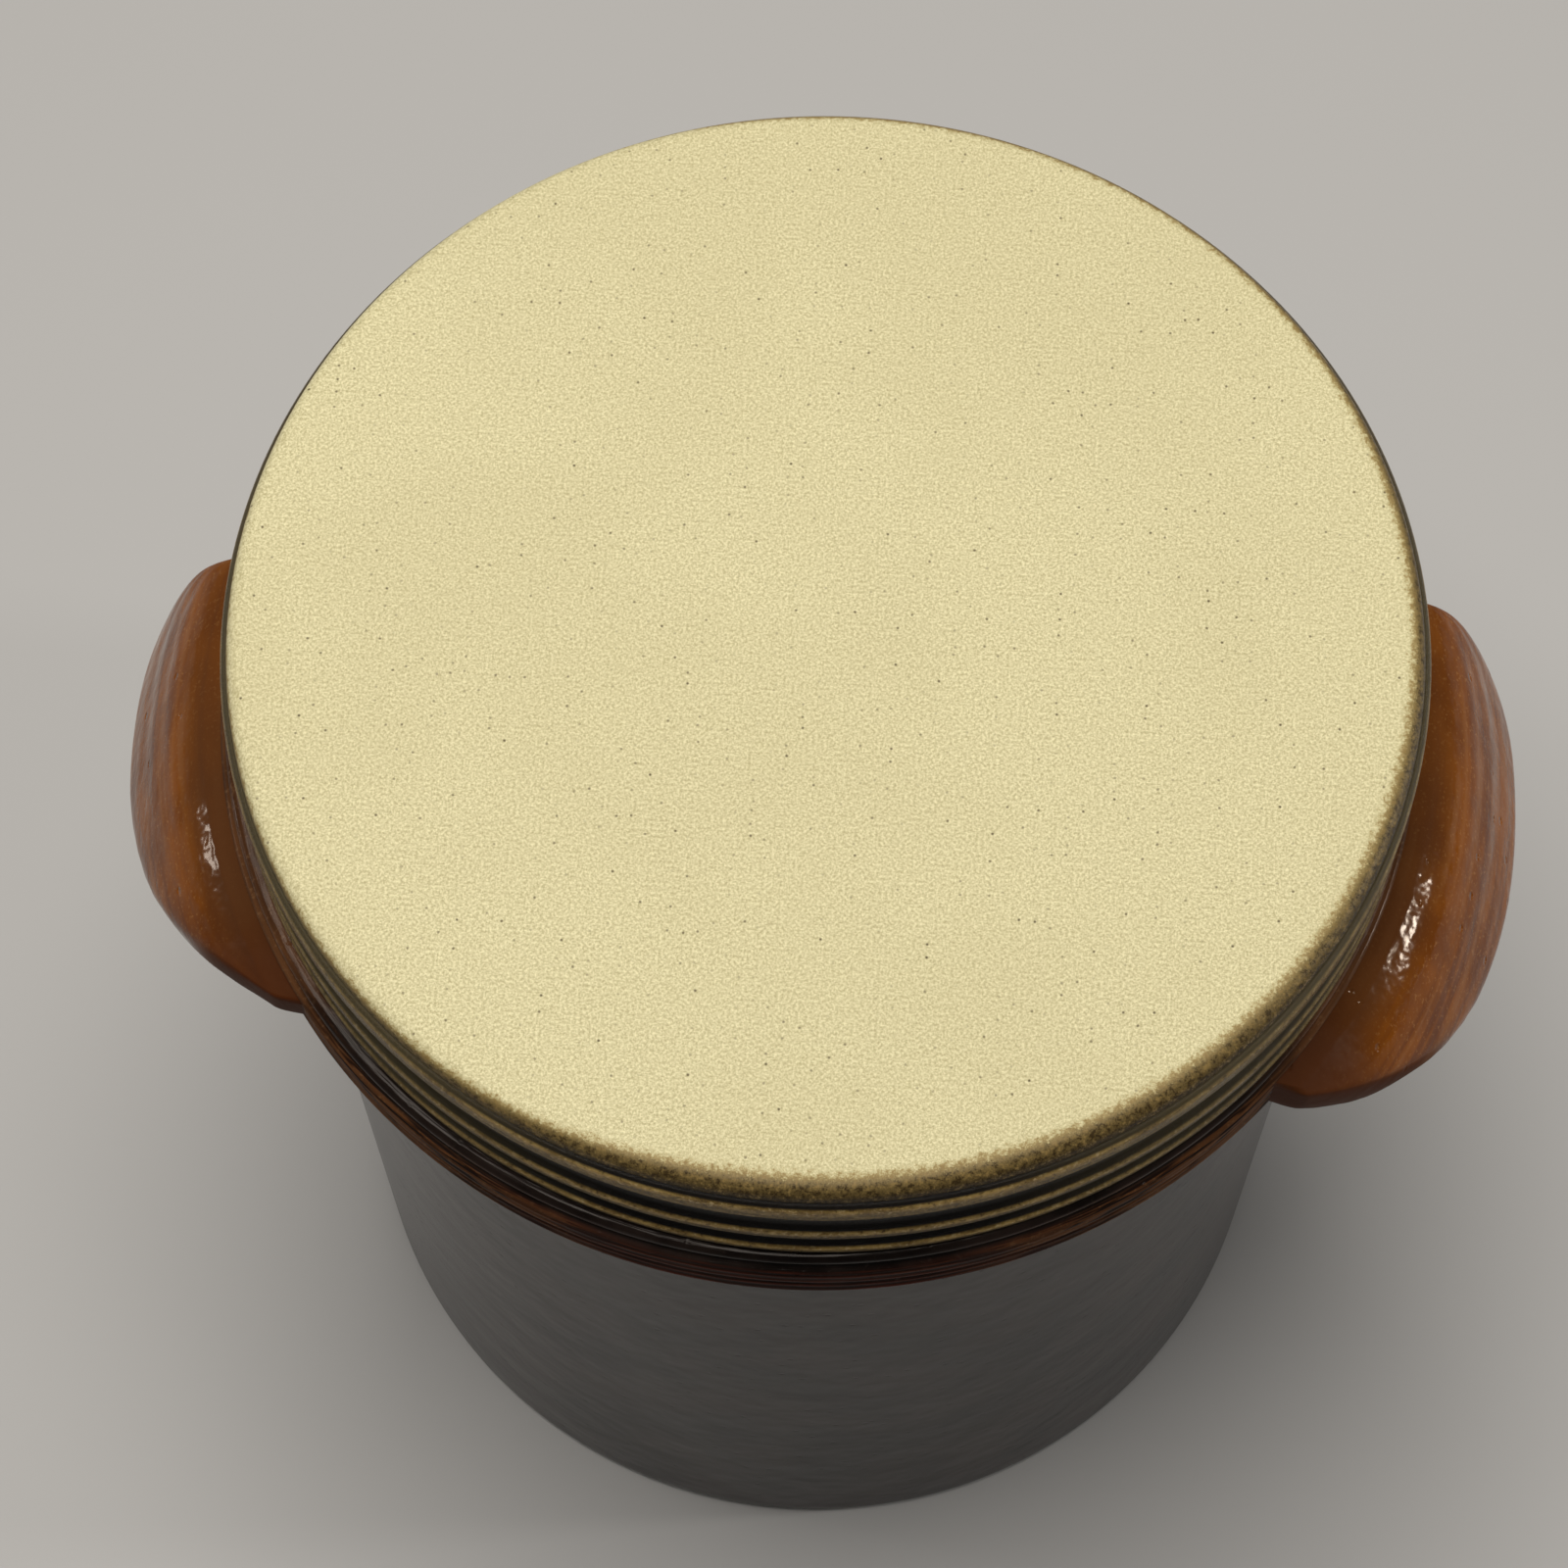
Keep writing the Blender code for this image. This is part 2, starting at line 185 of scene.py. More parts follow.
def throw_on_wheel(name, profile, shift=0.0):
    """A pot drawn as a single line of points in the XZ plane and turned round Z."""
    bpy.ops.object.select_all(action='DESELECT')
    bpy.ops.mesh.primitive_plane_add(size=WALL_THICKNESS, location=(0, 0, 0))
    pot = bpy.context.object
    pot.name = pot.data.name = name
    bpy.ops.object.mode_set(mode='EDIT')
    bpy.ops.mesh.merge(type='CENTER')
    bpy.ops.transform.translate(value=(profile[0][0], 0, profile[0][1]))
    for (x, z), (next_x, next_z) in zip(profile, profile[1:]):
        bpy.ops.mesh.extrude_vertices_move(
            TRANSFORM_OT_translate={"value": (next_x - x, 0, next_z - z)})
    bpy.ops.object.mode_set(mode='OBJECT')
    turning = pot.modifiers.new("turning", 'SCREW')
    turning.axis = 'Z'
    turning.angle = math.tau
    turning.steps = turning.render_steps = WHEEL_STEPS
    turning.use_merge_vertices = True
    turning.merge_threshold = MERGE_WITHIN
    bpy.ops.object.modifier_apply(modifier="turning")
    bpy.ops.object.mode_set(mode='EDIT')
    bpy.ops.mesh.select_all(action='SELECT')
    bpy.ops.mesh.remove_doubles(threshold=MERGE_WITHIN)
    bpy.ops.mesh.normals_make_consistent(inside=False)
    bpy.ops.mesh.faces_shade_smooth()
    bpy.ops.transform.translate(value=(shift, 0, 0))
    bpy.ops.object.mode_set(mode='OBJECT')
    return pot


def collar_face():
    """The collar's face, top to bottom: a deep groove under the shoulder, then rings."""
    top = JAR_HEIGHT - COLLAR_SHOULDER
    bottom = JAR_HEIGHT - COLLAR_HEIGHT + COLLAR_EDGE
    steps = RING_STEPS * len(RING_DEPTHS)
    points = []
    for step in range(1, steps):
        ring, share = divmod(step / RING_STEPS, 1)
        depth = RING_DEPTHS[int(ring)] * math.sin(math.pi * share)
        depth += max(0, 1 - step / RING_STEPS) * SHOULDER_SET_BACK
        points.append((COLLAR_RADIUS - depth, top + (bottom - top) * step / steps))
    return points


def jar_profile():
    """From the middle of the floor up inside, over the rim and down to the foot."""
    bore = WALL_RADIUS - WALL_THICKNESS
    fillet = arc((bore - FLOOR_FILLET, FLOOR_THICKNESS + FLOOR_FILLET),
                 (FLOOR_FILLET, FLOOR_FILLET), -90, 0)
    mouth = arc((bore + MOUTH_ROUND, JAR_HEIGHT - MOUTH_ROUND),
                (MOUTH_ROUND, MOUTH_ROUND), 180, 90, EDGE_STEPS)
    crest = COLLAR_RADIUS - SHOULDER_SET_BACK
    shoulder = arc((crest - COLLAR_SHOULDER, JAR_HEIGHT - COLLAR_SHOULDER),
                   (COLLAR_SHOULDER, COLLAR_SHOULDER), 90, 0)
    edge = (COLLAR_RADIUS - COLLAR_EDGE, JAR_HEIGHT - COLLAR_HEIGHT + COLLAR_EDGE)
    edge_round = arc(edge, (COLLAR_EDGE, COLLAR_EDGE), 0, -90, EDGE_STEPS)
    cove = arc((edge[0], JAR_HEIGHT - COLLAR_HEIGHT - COVE_HEIGHT),
               (edge[0] - WALL_RADIUS, COVE_HEIGHT), 90, 180)
    foot = (WALL_RADIUS - FOOT_ROUND, FOOT_ROUND)
    foot_round = arc(foot, (FOOT_ROUND, FOOT_ROUND), 0, -90)
    ring = foot[0] - FOOT_RING_WIDTH
    profile = [(0.0, FLOOR_THICKNESS)]
    profile += stretch(profile[-1], fillet[0], FLOOR_STEPS) + fillet[1:]
    profile += stretch(profile[-1], mouth[0], BORE_STEPS) + mouth[1:]
    profile += shoulder + collar_face() + edge_round + cove[1:]
    profile += stretch(profile[-1], foot_round[0], WALL_STEPS) + foot_round[1:]
    profile += [(ring, 0.0), (ring - FOOT_RECESS, FOOT_RECESS)]
    profile += stretch(profile[-1], (0.0, FOOT_RECESS), FLOOR_STEPS)
    return profile


def add_node(material, kind, values=(), **settings):
    """A shader node with its settings and the values of its inputs."""
    node = material.node_tree.nodes.new(kind)
    for setting, value in settings.items():
        setattr(node, setting, value)
    for socket, value in dict(values).items():
        if isinstance(value, bpy.types.NodeSocket):
            material.node_tree.links.new(value, node.inputs[socket])
        else:
            node.inputs[socket].default_value = value
    return node


def maths(material, operation, *operands):
    """The result of a Math node on sockets or numbers."""
    values = {index: operand for index, operand in enumerate(operands)}
    return add_node(material, "ShaderNodeMath", values, operation=operation).outputs[0]


def spread(material, value, low, high, start=0.0, end=1.0):
    """A value smoothly remapped from low..high to start..end."""
    return add_node(material, "ShaderNodeMapRange",
                    {"Value": value, "From Min": low, "From Max": high,
                     "To Min": start, "To Max": end},
                    interpolation_type='SMOOTHSTEP').outputs["Result"]


def mix(material, factor, first, second):
    """Two colours mixed by a factor. A colour mix has its sockets at 0, 6 and 7."""
    return add_node(material, "ShaderNodeMix", {0: factor, 6: first, 7: second},
                    data_type='RGBA').outputs[2]


def noise(material, coordinates, grain, detail=2.0, roughness=0.5):
    """Noise whose features are about grain metres across."""
    return add_node(material, "ShaderNodeTexNoise",
                    {"Vector": coordinates, "Scale": 1 / grain, "Detail": detail,
                     "Roughness": roughness}).outputs["Fac"]


def glaze(name, roughness, ior, shift=0.0):
    """A fired glaze, with its object coordinates and its distance from the wheel's axis."""
    material = bpy.data.materials.new(name)
    material.use_nodes = True
    shader = material.node_tree.nodes["Principled BSDF"]
    shader.inputs["Roughness"].default_value = roughness
    shader.inputs["IOR"].default_value = ior
    place = add_node(material, "ShaderNodeTexCoord").outputs["Object"]
    place = add_node(material, "ShaderNodeVectorMath", {0: place, 1: (shift, 0, 0)},
                     operation='SUBTRACT').outputs[0]
    axes = add_node(material, "ShaderNodeSeparateXYZ", {0: place})
    across = maths(material, 'MULTIPLY', axes.outputs["X"], axes.outputs["X"])
    along = maths(material, 'MULTIPLY', axes.outputs["Y"], axes.outputs["Y"])
    radius = maths(material, 'SQRT', maths(material, 'ADD', across, along))
    return material, shader, place, axes, radius


def toward_sides(material, axes, radius):
    """0 at the front and the back of a pot and 1 at its right and left."""
    return maths(material, 'DIVIDE', maths(material, 'ABSOLUTE', axes.outputs["X"]), radius)


def wheel_coordinates(material, axes, radius, drag):
    """Coordinates in which a pattern is drawn out along the potter's turning."""
    side = maths(material, 'ABSOLUTE', axes.outputs["X"])
    turn = maths(material, 'ARCTAN2', axes.outputs["Y"], side)
    return add_node(material, "ShaderNodeCombineXYZ",
                    {"X": maths(material, 'MULTIPLY', turn, drag),
                     "Y": radius, "Z": axes.outputs["Z"]}).outputs[0]


def shaken(material, value, pattern, amount):
    """A value moved up and down by a noise, by up to half of amount each way."""
    swing = maths(material, 'SUBTRACT', pattern, 0.5)
    return maths(material, 'ADD', value, maths(material, 'MULTIPLY', swing, amount))


def pitting(material, coordinates, spacing, low, high):
    """Round pits, 0 in a pit's middle and 1 between the pits."""
    pits = add_node(material, "ShaderNodeTexVoronoi",
                    {"Vector": coordinates, "Scale": 1 / spacing, "Randomness": 1.0})
    return spread(material, pits.outputs["Distance"], low, high)


def relief(material, shader, *layers):
    """Bump made of layers, each a height between 0 and 1 and its depth in metres."""
    normal = None
    for height, depth in layers:
        values = {"Height": height, "Distance": depth, "Strength": 1.0}
        if normal is not None:
            values["Normal"] = normal
        normal = add_node(material, "ShaderNodeBump", values).outputs[0]
    material.node_tree.links.new(normal, shader.inputs["Normal"])


def brown_glaze():
    """Near-black brown gloss, drawn out to rust along the collar towards the lugs; the rust has
    painted light at the sides and painted shade in front.
    """
    material, shader, place, axes, radius = glaze("brown_glaze", BROWN_ROUGHNESS, BROWN_IOR)
    shader.inputs["Specular Tint"].default_value = BROWN_GLINT
    patches = noise(material, place, BROWN_PATCH, 4.0, 0.6)
    grain = noise(material, place, BROWN_GRAIN)
    body = mix(material, spread(material, patches, 0.36, 0.64), BROWN_DARK, BROWN_PALE)
    body = mix(material, spread(material, grain, 0.58, 0.76, 0.0, 0.5), body, BROWN_FLECK)
    lines = noise(material, wheel_coordinates(material, axes, radius, LINE_DRAG),
                  LINE_WIDTH, 2.0, 0.6)
    smears = noise(material, wheel_coordinates(material, axes, radius, SMEAR_DRAG), SMEAR_WIDTH)
    rust = mix(material, spread(material, smears, 0.35, 0.65), RUST_DARK, RUST_PALE)
    rust = mix(material, spread(material, grain, 0.55, 0.75, 0.0, 0.4), rust, RUST_FLECK)
    side = toward_sides(material, axes, radius)
    at_lugs = spread(material, side, *RUST_AT_LUGS)
    drawn = maths(material, 'MULTIPLY', spread(material, lines, 0.52, 0.40),
                  maths(material, 'SUBTRACT', 1.0, maths(material, 'MULTIPLY', at_lugs, 0.85)))
    rust = mix(material, drawn, rust, RUST_GROOVE)
    # Rust spreading towards the lugs, with painted light brightening it at the lit sides.
    rust_and_light_near_lugs = spread(material, shaken(material, side, smears, 0.35), *RUST_AND_LIGHT_NEAR_LUGS)
    on_collar = spread(material, axes.outputs["Z"], *RUST_FOOT)
    face = maths(material, 'MAXIMUM', spread(material, radius, *RUST_FACE), at_lugs)
    crest = maths(material, 'MULTIPLY', spread(material, radius, *RUST_CREST),
                  spread(material, lines, 0.38, 0.60, 0.30, 0.95))
    amount = maths(material, 'MAXIMUM', maths(material, 'MULTIPLY', rust_and_light_near_lugs, face), crest)
    amount = maths(material, 'MULTIPLY', amount, on_collar)
    # Painted shade: in front the rust is darkened to deep red.
    rust = mix(material, rust_and_light_near_lugs, PAINTED_SHADE_RUST_IN_FRONT, rust)
    colour = mix(material, amount, body, rust)
    material.node_tree.links.new(colour, shader.inputs["Base Color"])
    relief(material, shader,
           (noise(material, place, BROWN_WAVE), BROWN_WAVE_DEPTH),
           (maths(material, 'MULTIPLY', lines, on_collar), LINE_DEPTH),
           (pitting(material, place, BROWN_PIT_SPACING, 0.05, 0.16), BROWN_PIT_DEPTH))
    return material


jar = throw_on_wheel("jar_glazed", jar_profile())
jar.data.materials.append(brown_glaze())
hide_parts("jar_body")
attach(jar, "jar")


# Lug handles. Two slabs of clay pulled by hand, so that ribs run along them, then
# luted under the rim and dipped in a thinner glaze that fires orange-brown. It breaks paler
# along the ribs; the trimmed front ends and the roots are painted dark as shade.
LUG_FILLET = 0.0040
LUG_FILLET_RISE = 0.7
LUG_SINK = 0.0027
LUG_SUNK_UNTIL = (0.0006, 0.0030)
LUG_CROWN = 0.0022
LUG_REACH = 0.0190
LUG_LIP_GAIN = 0.0006
LUG_TIP_TAPER = 0.035
LUG_TIP_DEPTH = 0.0010
LUG_UPPER_FACE = 0.3
# The painted shade on the trimmed front end: how far round to the front it begins, how much
# a face must face the front there to take it, and how softly it ends below the brow.
CUT_BEGINS = (0.32, 0.50)
CUT_FACES = (0.22, 0.52)
CUT_SOFTNESS = 0.30
# The painted shade at the tip: its strength, and the share of its reach, at the tip's
# end, over which it has that strength.
TIP_SHADE_STRENGTH = 0.75
TIP_SHADE_FULL = 0.3
# Each lug's name, the node that it stands for, how far round its tip ends, how far back the
# painted shade at its tip reaches, how that shade's line slants, and how far the painted shade
# of the cut climbs its brow.
LUGS = (
    ("right_lug_glazed", "right_lug_handle", 0.65, 0.22, 0.0, 0.60),
    ("left_lug_glazed", "left_lug_handle", 0.61, 0.20, 8.0, 0.84),
)

TAN_ROUGHNESS = 0.11
CUT_ROUGHNESS = 0.65
TAN_IOR = 1.22
TAN_GLINT = (1.0, 0.80, 0.60, 1.0)
TAN_DARK = (0.150, 0.039, 0.0022, 1)
TAN_PALE = (0.232, 0.067, 0.0050, 1)
TAN_GROOVE = (0.085, 0.017, 0.002, 1)
TAN_RIB = (0.28, 0.110, 0.030, 1)
TAN_FLECK = (0.42, 0.20, 0.060, 1)
# Painted shade at the lug's root, where it meets the collar, and over the left lug.
TAN_ROOT_SHADE = (0.075, 0.028, 0.010, 1)
# Painted shade on the trimmed front end and at the tip.
TAN_CUT_SHADE = (0.060, 0.0140, 0.0025, 1)
RIB_DRAG, RIB_WIDTH, RIB_DEPTH = 0.0060, 0.0024, 0.00003
TAN_CLOUD = 0.011
TAN_GRAIN = 0.0006
TAN_WAVE, TAN_WAVE_DEPTH = 0.0040, 0.00022
TAN_PIT_SPACING, TAN_PIT_DEPTH = 0.0062, 0.00028
# Distances from the axis over which the lip's grooves deepen and painted shade darkens the
# root where the lug meets the collar. The root's painted shade is stronger towards the front,
# and the left lug is painted a little darker all over as shade.
LUG_LIP_BAND = (0.0960, 0.1020)
LUG_ROOT_SHADE_BAND = (0.0985, 0.0920)
ROOT_SHADE_TOWARDS_FRONT = (0.03, -0.03, 0.35, 0.82)
RIGHT_TO_LEFT = (0.05, -0.05)
LEFT_LUG_SHADE = 0.12


def tan_glaze():
    """Orange-brown gloss, darker in the ribs' grooves, with painted shade on the trimmed ends and
    the root.
    """
    material, shader, place, axes, radius = glaze("tan_glaze", TAN_ROUGHNESS, TAN_IOR)
    shader.inputs["Specular Tint"].default_value = TAN_GLINT
    ribs = noise(material, wheel_coordinates(material, axes, radius, RIB_DRAG), RIB_WIDTH)
    clouds = noise(material, place, TAN_CLOUD, 3.0)
    grain = noise(material, place, TAN_GRAIN, 2.0, 0.6)
    colour = mix(material, spread(material, clouds, 0.34, 0.66), TAN_DARK, TAN_PALE)
    outer = spread(material, radius, *LUG_LIP_BAND)
    groove = maths(material, 'MULTIPLY', spread(material, ribs, 0.50, 0.36),
                   maths(material, 'ADD', maths(material, 'MULTIPLY', outer, 0.35), 0.20))
    colour = mix(material, groove, colour, TAN_GROOVE)
    colour = mix(material, spread(material, ribs, 0.54, 0.68, 0.0, 0.35), colour, TAN_RIB)
    colour = mix(material, spread(material, grain, 0.56, 0.72, 0.0, 0.35), colour, TAN_FLECK)
    # Painted shade: darker at the root where the lug meets the collar, more so towards the front,
    # and a little darker over all the left lug.
    root_shade = spread(material, radius, *LUG_ROOT_SHADE_BAND)
    front = spread(material, axes.outputs["Y"], *ROOT_SHADE_TOWARDS_FRONT)
    left = spread(material, axes.outputs["X"], *RIGHT_TO_LEFT)
    painted_shade = maths(material, 'ADD', maths(material, 'MULTIPLY', root_shade, front),
                    maths(material, 'MULTIPLY', left, LEFT_LUG_SHADE))
    colour = mix(material, painted_shade, colour, TAN_ROOT_SHADE)
    # Painted shade on the faces of the trimmed end and at the tip, which are also matt.
    cut = add_node(material, "ShaderNodeAttribute", attribute_name="cut").outputs["Fac"]
    colour = mix(material, cut, colour, TAN_CUT_SHADE)
    material.node_tree.links.new(colour, shader.inputs["Base Color"])
    matt = spread(material, cut, 0.2, 0.9, TAN_ROUGHNESS, CUT_ROUGHNESS)
    material.node_tree.links.new(matt, shader.inputs["Roughness"])
    relief(material, shader,
           (ribs, RIB_DEPTH),
           (noise(material, place, TAN_WAVE), TAN_WAVE_DEPTH),
           (pitting(material, place, TAN_PIT_SPACING, 0.03, 0.13), TAN_PIT_DEPTH))
    return material


def smooth_step(value, low, high):
    """0 below low and 1 above high, with a smooth rise between them."""
    share = min(max((value - low) / (high - low), 0.0), 1.0)
    return share * share * (3 - 2 * share)


def merged_copy(name, node):
    """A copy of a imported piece, with its loose triangles joined again."""
    copy = bpy.data.objects.new(name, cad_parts[node].data.copy())
    bpy.context.scene.collection.objects.link(copy)
    copy.data.materials.clear()
    bpy.ops.object.select_all(action='DESELECT')
    bpy.context.view_layer.objects.active = copy
    copy.select_set(True)
    bpy.ops.object.mode_set(mode='EDIT')
    bpy.ops.mesh.select_all(action='SELECT')
    bpy.ops.mesh.remove_doubles(threshold=MERGE_WITHIN)
    bpy.ops.mesh.tris_convert_to_quads(face_threshold=math.radians(40),
                                       shape_threshold=math.radians(60))
    bpy.ops.mesh.vertices_smooth(factor=0.5, repeat=2)
    bpy.ops.mesh.faces_shade_smooth()
    bpy.ops.object.mode_set(mode='OBJECT')
    return copy


def lute_to_collar(lug, tip, tip_shade_reach, slant, brow):
    """Draws the lug up the collar, sinks its root and its tip and marks the painted shade of its
    cut end.
    """
    normals = [vertex.normal.copy() for vertex in lug.data.vertices]
    cuts = []
    for vertex, normal in zip(lug.data.vertices, normals):
        radius = vertex.co.xy.length
        share = -vertex.co.y / radius
        out = radius - COLLAR_RADIUS
        # Painted shade on the faces of the front end that turn forward and down, and at the tip.
        front = smooth_step(share, *CUT_BEGINS) * smooth_step(-normal.y, *CUT_FACES)
        trimmed = front * smooth_step(-normal.z, -brow, CUT_SOFTNESS - brow)
        tip_shade = smooth_step(share + out * slant, tip - tip_shade_reach, tip - tip_shade_reach * TIP_SHADE_FULL)
        cuts.append(max(trimmed, tip_shade * TIP_SHADE_STRENGTH))
        on_collar = vertex.co.z > JAR_HEIGHT - COLLAR_HEIGHT and out < LUG_FILLET
        if on_collar and normal.z > LUG_UPPER_FACE:
            gap = LUG_FILLET - max(out, 0.0)
            climb = LUG_FILLET - math.sqrt(LUG_FILLET ** 2 - gap ** 2)
            vertex.co.z += climb * LUG_FILLET_RISE
        reached = min(max(out / LUG_REACH, 0.0), 1.0)
        vertex.co.z += LUG_CROWN * math.sin(math.pi * reached) ** 2
        vertex.co.xy *= 1 + reached * LUG_LIP_GAIN / radius
        sunk = LUG_SINK * (1 - smooth_step(out, *LUG_SUNK_UNTIL))
        tapered = smooth_step(share, tip - LUG_TIP_TAPER, tip) * (out + LUG_TIP_DEPTH)
        vertex.co.xy *= (radius - max(sunk, tapered)) / radius
    lug.data.attributes.new("cut", 'FLOAT', 'POINT').data.foreach_set("value", cuts)


tan = tan_glaze()
for name, node, tip, tip_shade_reach, slant, brow in LUGS:
    lug = merged_copy(name, node)
    lug.data.materials.append(tan)
    rounding = lug.modifiers.new("rounding", 'SUBSURF')
    rounding.levels = rounding.render_levels = 2
    bpy.ops.object.modifier_apply(modifier="rounding")
    lute_to_collar(lug, tip, tip_shade_reach, slant, brow)
    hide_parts(node)
    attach(lug, "jar")


# Lid. One thick turned slab with a flange under it that drops into the mouth. Its top
# is a matt cream glaze that thins at the rim and breaks to olive over the fluted edge.
LID_LOW, LID_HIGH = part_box("lid")
LID_SHIFT = (LID_LOW.x + LID_HIGH.x) / 2
LID_RADIUS = (LID_HIGH.x - LID_LOW.x) / 2
LID_GAP = 0.0003
LID_SEAT = JAR_HEIGHT + LID_GAP
LID_HEIGHT = LID_HIGH.z - LID_SEAT
LID_PLATE = 0.0078
LID_PLAY = 0.0014
LID_EDGE_WIDTH = 0.0024
LID_EDGE_HEIGHT = 0.0026
FLUTE_DEPTH = 0.0011
LID_BOTTOM_EDGE = 0.0006
FLANGE_THICKNESS = 0.0070
FLANGE_ROUND = 0.0020
FLANGE_STEPS = 6
RECESS_FILLET = 0.0060
# The ridges' upper and lower edges, in shares of the lid's height above its seat.
RIDGE_SHARES = ((0.86, 0.66), (0.41, 0.30), (0.105, 0.030))
RIDGE_SHARPNESS = 4
RIDGE_SPILL = 0.6
RIDGE_STEPS = 16
LOWEST_RIDGE_POINT = LID_SEAT + 0.0002
LID_TOP_STEPS = 40
FLUTE_STEPS = 4
SEAT_STEPS = 8
CEILING_STEPS = 12

CREAM_ROUGHNESS = 0.48
WORN_ROUGHNESS = 0.22
CREAM_IOR = 1.25
CREAM_DARK = (0.385, 0.335, 0.171, 1)
CREAM_PALE = (0.775, 0.716, 0.447, 1)
# Painted shade, laid over the cream in broad clouds.
CREAM_PAINTED_SHADE = (0.400, 0.340, 0.175, 1)
SPECK = (0.085, 0.060, 0.025, 1)
WORN_PIT = (0.024, 0.013, 0.003, 1)
WORN_FLECK = (0.300, 0.200, 0.070, 1)
CREST_DARK = (0.190, 0.112, 0.020, 1)
CREST_PALE = (0.420, 0.275, 0.075, 1)
CREST_FLECK = (0.62, 0.46, 0.20, 1)
CREST_PIT = (0.035, 0.020, 0.005, 1)
# Painted shade on the ridges below their lit upper shoulders.
CREST_PAINTED_SHADE = (0.062, 0.040, 0.012, 1)
CREST_AT_SIDES = (0.100, 0.074, 0.034, 1)
# Painted shade in the flutes in front.
FLUTE_PAINTED_SHADE_IN_FRONT = (0.0050, 0.0034, 0.0022, 1)
FLUTE_AT_SIDES = (0.055, 0.042, 0.0190, 1)
CREAM_GRAIN, CREAM_GRAIN_DEPTH = 0.00042, 0.00005
CREAM_CLOUD = 0.045
SPECK_SPACING = 0.0021
MOTTLE, MOTTLE_DEPTH = 0.0010, 0.00020
CREST_DRAG, CREST_STREAK = 0.02, 0.0012
CREAM_WAVE, CREAM_WAVE_DEPTH = 0.006, 0.00005
# The cream wears through between these distances from the lid's axis, which lean to the
# front and to the right, and the mottle and the grain fray them by these widths.
WORN_FROM, WORN_TO = 0.0838, 0.0890
WORN_LEAN_RIGHT = (-0.066, -0.005, -0.0028, 0.0005)
WORN_LEAN_FRONT = 0.013
WORN_FRAY, WORN_FINE_FRAY = 0.0065, 0.0040
# How far down the rim the fluted side begins, and where a ridge's crest does.
SIDE_BEGINS = (0.0020, 0.0026)
CREST_BEGINS = (LID_RADIUS - 0.00050, LID_RADIUS - 0.00014)
WORN_COLOURS = (
    (0.0, (0.56, 0.50, 0.27)), (0.14, (0.31, 0.230, 0.092)), (0.38, (0.145, 0.101, 0.037)),
    (0.72, (0.100, 0.068, 0.023)), (1.0, (0.060, 0.039, 0.013)),
)
# How much painted light the ridges take at each share of the height: a full painted highlight
# on the two lower ridges' upper shoulders and on the top ridge, painted shade below them.
RIDGE_PAINTED_LIGHT = (
    (0.0, (0.1, 0.1, 0.1)), (0.065, (0.2, 0.2, 0.2)), (0.090, (1, 1, 1)),
    (0.20, (0.1, 0.1, 0.1)), (0.350, (0.2, 0.2, 0.2)), (0.385, (1, 1, 1)),
    (0.50, (0.4, 0.4, 0.4)), (0.75, (0.5, 0.5, 0.5)), (0.82, (1, 1, 1)),
)


def ridge(upper, lower):
    """One ridge of the fluted edge, a band with rounded shoulders."""
    half = (upper - lower) / 2 + FLUTE_DEPTH * RIDGE_SPILL
    middle = (upper + lower) / 2
    points = []
    for step in range(RIDGE_STEPS + 1):
        share = 2 * step / RIDGE_STEPS - 1
        depth = FLUTE_DEPTH * abs(share) ** RIDGE_SHARPNESS
        points.append((LID_RADIUS - depth, middle - half * share))
    return points


def lid_profile():
    """From the middle of the top, down the fluted edge, round the flange and up."""
    side = LID_RADIUS - FLUTE_DEPTH
    flange = WALL_RADIUS - WALL_THICKNESS - LID_PLAY
    recess = flange - FLANGE_THICKNESS
    bottom = LID_LOW.z
    ceiling = LID_HIGH.z - LID_PLATE
    rim = arc((side - LID_EDGE_WIDTH, LID_HIGH.z - LID_EDGE_HEIGHT),
              (LID_EDGE_WIDTH, LID_EDGE_HEIGHT), 90, 0)
    profile = [(0.0, LID_HIGH.z)]
    profile += stretch(profile[-1], rim[0], LID_TOP_STEPS) + rim[1:]
    for upper, lower in RIDGE_SHARES:
        band = ridge(LID_SEAT + upper * LID_HEIGHT, LID_SEAT + lower * LID_HEIGHT)
        profile += stretch(profile[-1], band[0], FLUTE_STEPS)
        profile += [point for point in band[1:] if point[1] > LOWEST_RIDGE_POINT]
    profile.append((side - LID_BOTTOM_EDGE, LID_SEAT))
    profile += stretch(profile[-1], (flange, LID_SEAT), SEAT_STEPS)
    outer = arc((flange - FLANGE_ROUND, bottom + FLANGE_ROUND),
                (FLANGE_ROUND, FLANGE_ROUND), 0, -90, FLANGE_STEPS)
    inner = arc((recess + FLANGE_ROUND, bottom + FLANGE_ROUND),
                (FLANGE_ROUND, FLANGE_ROUND), 270, 180, FLANGE_STEPS)
    corner = arc((recess - RECESS_FILLET, ceiling - RECESS_FILLET),
                 (RECESS_FILLET, RECESS_FILLET), 0, 90)
    profile += outer + inner + corner
    profile += stretch(profile[-1], (0.0, ceiling), CEILING_STEPS)
    return profile


def ramp(material, factor, stops):
    """A colour that runs through stops, each a position and a colour."""
    node = add_node(material, "ShaderNodeValToRGB", {"Fac": factor})
    elements = node.color_ramp.elements
    for element, (position, colour) in zip(elements, stops):
        element.position = position
        element.color = (*colour, 1)
    for position, colour in stops[2:]:
        elements.new(position).color = (*colour, 1)
    return node.outputs["Color"]


